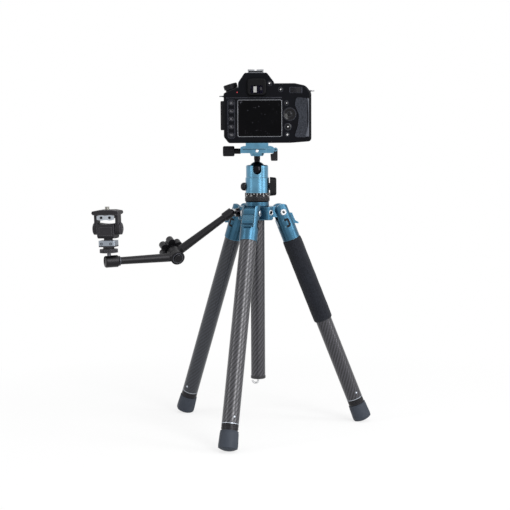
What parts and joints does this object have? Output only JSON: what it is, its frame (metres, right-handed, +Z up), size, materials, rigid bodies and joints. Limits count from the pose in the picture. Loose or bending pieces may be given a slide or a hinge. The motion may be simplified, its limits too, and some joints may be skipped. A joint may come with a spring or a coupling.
{
  "type": "camera on tripod",
  "caption": "Reflex camera on a folding tripod with a ball head, a quick release clamp and a jointed side arm that ends in a tilting accessory mount.",
  "frame": {"origin": "centre of the bounding box on the floor under the feet", "axes": "+Z up along the centre column, +Y along the lens, +X to the right seen from behind the camera"},
  "size_m": [0.4067, 0.3002, 0.5297],
  "materials": {
    "blue_aluminium": "satin anodised",
    "black_aluminium": "black anodised",
    "steel": "bright",
    "dark_chrome": "polished",
    "carbon_fibre": "satin twill",
    "boot_rubber": "matt",
    "foam": "matt",
    "camera_plastic": "fine grain",
    "screen": "gloss",
    "optical_glass": "polished",
    "mirror": "polished"
  },
  "bodies": {
    "spider": {"spider": "blue_aluminium", "hinge_bolts": "steel", "arm_stud": "black_aluminium"},
    "column": {"centre_column": "carbon_fibre", "pan_base": "black_aluminium"},
    "collar": {"column_collar": "blue_aluminium"},
    "housing": {"ball_housing": "blue_aluminium"},
    "lock_knob": {"ball_lock_knob": "black_aluminium"},
    "friction_knob": {"friction_knob": "black_aluminium"},
    "ball": {"ball_stem": "dark_chrome"},
    "clamp": {"clamp_body": "blue_aluminium"},
    "jaw": {"clamp_jaw": "blue_aluminium"},
    "clamp_knob": {"clamp_knob": "black_aluminium"},
    "clamp_lever": {"clamp_lever": "black_aluminium"},
    "camera": {"quick_plate": "blue_aluminium", "front_shell": "camera_plastic", "rear_shell": "camera_plastic", "top_cover": "camera_plastic", "camera_core": "camera_plastic", "camera_optics": "optical_glass", "lcd_screen": "screen", "camera_fittings": "steel", "camera_rubber": "boot_rubber", "lens_barrel": "black_aluminium"},
    "mirror": {"reflex_mirror": "mirror"},
    "flap": {"terminal_cover": "boot_rubber"},
    "focus_ring": {"focus_ring": "camera_plastic"},
    "mode_dial": {"mode_dial": "camera_plastic"},
    "command_dial": {"command_dial": "camera_plastic"},
    "shutter_button": {"shutter_button": "camera_plastic"},
    "upper_arm": {"upper_rod": "black_aluminium"},
    "elbow_knob": {"elbow_knob": "camera_plastic"},
    "lower_arm": {"lower_rod": "black_aluminium"},
    "wrist": {"wrist_stud": "black_aluminium"},
    "mount": {"mount_body": "black_aluminium"},
    "bracket": {"tilt_bracket": "black_aluminium"},
    "leg_right": {"shoulder_right": "blue_aluminium", "leg_tube_right": "carbon_fibre", "foam_grip": "foam"},
    "lock_right": {"angle_lock_right": "blue_aluminium"},
    "lower_right": {"lower_leg_right": "boot_rubber"},
    "leg_left": {"shoulder_left": "blue_aluminium", "leg_tube_left": "carbon_fibre"},
    "lock_left": {"angle_lock_left": "blue_aluminium"},
    "lower_left": {"lower_leg_left": "boot_rubber"},
    "leg_front": {"shoulder_front": "blue_aluminium", "leg_tube_front": "carbon_fibre"},
    "lock_front": {"angle_lock_front": "blue_aluminium"},
    "lower_front": {"lower_leg_front": "boot_rubber"},
    "ae_lock_button": {"ae_lock_button": "camera_plastic"},
    "playback_button": {"playback_button": "camera_plastic"},
    "live_view_button": {"live_view_button": "camera_plastic"},
    "info_button": {"info_button": "camera_plastic"},
    "menu_button_1": {"menu_button_1": "camera_plastic"},
    "menu_button_2": {"menu_button_2": "camera_plastic"},
    "menu_button_3": {"menu_button_3": "camera_plastic"},
    "menu_button_4": {"menu_button_4": "camera_plastic"},
    "menu_button_5": {"menu_button_5": "camera_plastic"},
    "multi_selector": {"multi_selector": "camera_plastic"},
    "diopter_knob": {"diopter_knob": "camera_plastic"}
  },
  "joints": [
    {"name": "column_lift", "type": "slide", "parent": "spider", "child": "column", "axis": [0, 0, 1], "range_m": [0, 0.2]},
    {"name": "collar_twist", "type": "hinge", "parent": "spider", "child": "collar", "pos_m": [0.03214, 0.02109, 0.33046], "axis": [0, 0, 1], "range_deg": [0, 60]},
    {"name": "leg_right_fold", "type": "hinge", "parent": "spider", "child": "leg_right", "pos_m": [0.06691, 0.03041, 0.32186], "axis": [-0.2588, 0.9659, 0], "range_deg": [0, 22]},
    {"name": "angle_lock_right_pull", "type": "slide", "parent": "leg_right", "child": "lock_right", "axis": [0.8956, 0.24, 0.3746], "range_m": [0, 0.005], "stiffness_N_per_m": 400},
    {"name": "leg_right_extend", "type": "slide", "parent": "leg_right", "child": "lower_right", "axis": [0.3618, 0.097, -0.9272], "range_m": [0, 0.2]},
    {"name": "leg_left_fold", "type": "hinge", "parent": "spider", "child": "leg_left", "pos_m": [0.00668, 0.04655, 0.32186], "axis": [-0.7071, -0.7071, 0], "range_deg": [0, 22]},
    {"name": "angle_lock_left_pull", "type": "slide", "parent": "leg_left", "child": "lock_left", "axis": [-0.6556, 0.6556, 0.3746], "range_m": [0, 0.005], "stiffness_N_per_m": 400},
    {"name": "leg_left_extend", "type": "slide", "parent": "leg_left", "child": "lower_left", "axis": [-0.2649, 0.2649, -0.9272], "range_m": [0, 0.2]},
    {"name": "leg_front_fold", "type": "hinge", "parent": "spider", "child": "leg_front", "pos_m": [0.02282, -0.01368, 0.32186], "axis": [0.9659, -0.2588, 0], "range_deg": [0, 22]},
    {"name": "angle_lock_front_pull", "type": "slide", "parent": "leg_front", "child": "lock_front", "axis": [-0.24, -0.8956, 0.3746], "range_m": [0, 0.005], "stiffness_N_per_m": 400},
    {"name": "leg_front_extend", "type": "slide", "parent": "leg_front", "child": "lower_front", "axis": [-0.097, -0.3618, -0.9272], "range_m": [0, 0.2]},
    {"name": "head_pan", "type": "hinge", "parent": "column", "child": "housing", "pos_m": [0.03214, 0.02109, 0.35056], "axis": [0, 0, 1], "continuous": true},
    {"name": "ball_lock_turn", "type": "hinge", "parent": "housing", "child": "lock_knob", "pos_m": [0.04944, 0.02109, 0.35956], "axis": [1, 0, 0], "range_deg": [0, 120]},
    {"name": "friction_turn", "type": "hinge", "parent": "housing", "child": "friction_knob", "pos_m": [0.01484, 0.02109, 0.35956], "axis": [1, 0, 0], "range_deg": [0, 270]},
    {"name": "ball_tilt", "type": "hinge", "parent": "housing", "child": "ball", "pos_m": [0.03214, 0.02109, 0.38356], "axis": [1, 0, 0], "range_deg": [-30, 90]},
    {"name": "clamp_pan", "type": "hinge", "parent": "ball", "child": "clamp", "pos_m": [0.03214, 0.02109, 0.40426], "axis": [0, 0, 1], "continuous": true},
    {"name": "clamp_knob_turn", "type": "hinge", "parent": "clamp", "child": "clamp_knob", "pos_m": [0.00814, 0.02109, 0.41156], "axis": [1, 0, 0], "range_deg": [0, 1080]},
    {"name": "jaw_slide", "type": "slide", "parent": "clamp", "child": "jaw", "axis": [1, 0, 0], "range_m": [0, 0.003]},
    {"name": "clamp_lever_swing", "type": "hinge", "parent": "jaw", "child": "clamp_lever", "pos_m": [0.05934, 0.02109, 0.41366], "axis": [0, -1, 0], "range_deg": [0, 90]},
    {"name": "plate_slide", "type": "slide", "parent": "clamp", "child": "camera", "axis": [0, 1, 0], "range_m": [-0.02, 0.02]},
    {"name": "mirror_flip", "type": "hinge", "parent": "camera", "child": "mirror", "pos_m": [0.03214, 0.01659, 0.47876], "axis": [1, 0, 0], "range_deg": [0, 45]},
    {"name": "terminal_flap", "type": "hinge", "parent": "camera", "child": "flap", "pos_m": [-0.01826, 0.02679, 0.44226], "axis": [0, 0, -1], "range_deg": [0, 110], "stiffness_Nm_per_rad": 0.02},
    {"name": "focus_turn", "type": "hinge", "parent": "camera", "child": "focus_ring", "pos_m": [0.03214, 0.05509, 0.46526], "axis": [0, 1, 0], "range_deg": [0, 150]},
    {"name": "mode_dial_turn", "type": "hinge", "parent": "camera", "child": "mode_dial", "pos_m": [-0.00516, 0.01909, 0.50275], "axis": [-0.2756, 0, 0.9613], "continuous": true},
    {"name": "command_dial_turn", "type": "hinge", "parent": "camera", "child": "command_dial", "pos_m": [0.08864, 0.00559, 0.49926], "axis": [0, 0, 1], "continuous": true},
    {"name": "shutter_press", "type": "slide", "parent": "camera", "child": "shutter_button", "axis": [0, -0.3746, -0.9272], "range_m": [0, 0.0015], "stiffness_N_per_m": 600},
    {"name": "ae_lock_button_press", "type": "slide", "parent": "camera", "child": "ae_lock_button", "axis": [0, 1, 0], "range_m": [0, 0.0008], "stiffness_N_per_m": 600},
    {"name": "playback_button_press", "type": "slide", "parent": "camera", "child": "playback_button", "axis": [0, 1, 0], "range_m": [0, 0.0008], "stiffness_N_per_m": 600},
    {"name": "live_view_button_press", "type": "slide", "parent": "camera", "child": "live_view_button", "axis": [0, 1, 0], "range_m": [0, 0.0008], "stiffness_N_per_m": 600},
    {"name": "info_button_press", "type": "slide", "parent": "camera", "child": "info_button", "axis": [0, 1, 0], "range_m": [0, 0.0008], "stiffness_N_per_m": 600},
    {"name": "menu_button_1_press", "type": "slide", "parent": "camera", "child": "menu_button_1", "axis": [0, 1, 0], "range_m": [0, 0.0008], "stiffness_N_per_m": 600},
    {"name": "menu_button_2_press", "type": "slide", "parent": "camera", "child": "menu_button_2", "axis": [0, 1, 0], "range_m": [0, 0.0008], "stiffness_N_per_m": 600},
    {"name": "menu_button_3_press", "type": "slide", "parent": "camera", "child": "menu_button_3", "axis": [0, 1, 0], "range_m": [0, 0.0008], "stiffness_N_per_m": 600},
    {"name": "menu_button_4_press", "type": "slide", "parent": "camera", "child": "menu_button_4", "axis": [0, 1, 0], "range_m": [0, 0.0008], "stiffness_N_per_m": 600},
    {"name": "menu_button_5_press", "type": "slide", "parent": "camera", "child": "menu_button_5", "axis": [0, 1, 0], "range_m": [0, 0.0008], "stiffness_N_per_m": 600},
    {"name": "multi_selector_press", "type": "slide", "parent": "camera", "child": "multi_selector", "axis": [0, 1, 0], "range_m": [0, 0.0008], "stiffness_N_per_m": 600},
    {"name": "diopter_turn", "type": "hinge", "parent": "camera", "child": "diopter_knob", "pos_m": [0.05064, -0.00291, 0.50906], "axis": [0, 1, 0], "range_deg": [-120, 120]},
    {"name": "arm_swivel", "type": "hinge", "parent": "spider", "child": "upper_arm", "pos_m": [-0.00679, 0.01066, 0.32186], "axis": [-0.9659, -0.2588, 0], "range_deg": [-30, 30]},
    {"name": "elbow", "type": "hinge", "parent": "upper_arm", "child": "lower_arm", "pos_m": [-0.08717, -0.00378, 0.26055], "axis": [-0.3634, 0.8609, 0.356], "range_deg": [-45, 45]},
    {"name": "elbow_knob_turn", "type": "hinge", "parent": "upper_arm", "child": "elbow_knob", "pos_m": [-0.08717, -0.00378, 0.26055], "axis": [-0.3634, 0.8609, 0.356], "range_deg": [0, 180]},
    {"name": "wrist_swing", "type": "hinge", "parent": "lower_arm", "child": "wrist", "pos_m": [-0.17949, -0.04675, 0.25602], "axis": [0.3795, -0.9252, 0], "range_deg": [0, 80]},
    {"name": "mount_pan", "type": "hinge", "parent": "wrist", "child": "mount", "pos_m": [-0.17949, -0.04675, 0.25602], "axis": [-0.0248, -0.0102, 0.9996], "continuous": true},
    {"name": "bracket_tilt", "type": "hinge", "parent": "mount", "child": "bracket", "pos_m": [-0.18065, -0.04723, 0.30301], "axis": [0.97, -0.2422, 0.0216], "range_deg": [-60, 60]}
  ],
  "couplings": [
    {"joint": "clamp_knob_turn", "follows": "jaw_slide", "rad_per_m": 6283.2}
  ]
}
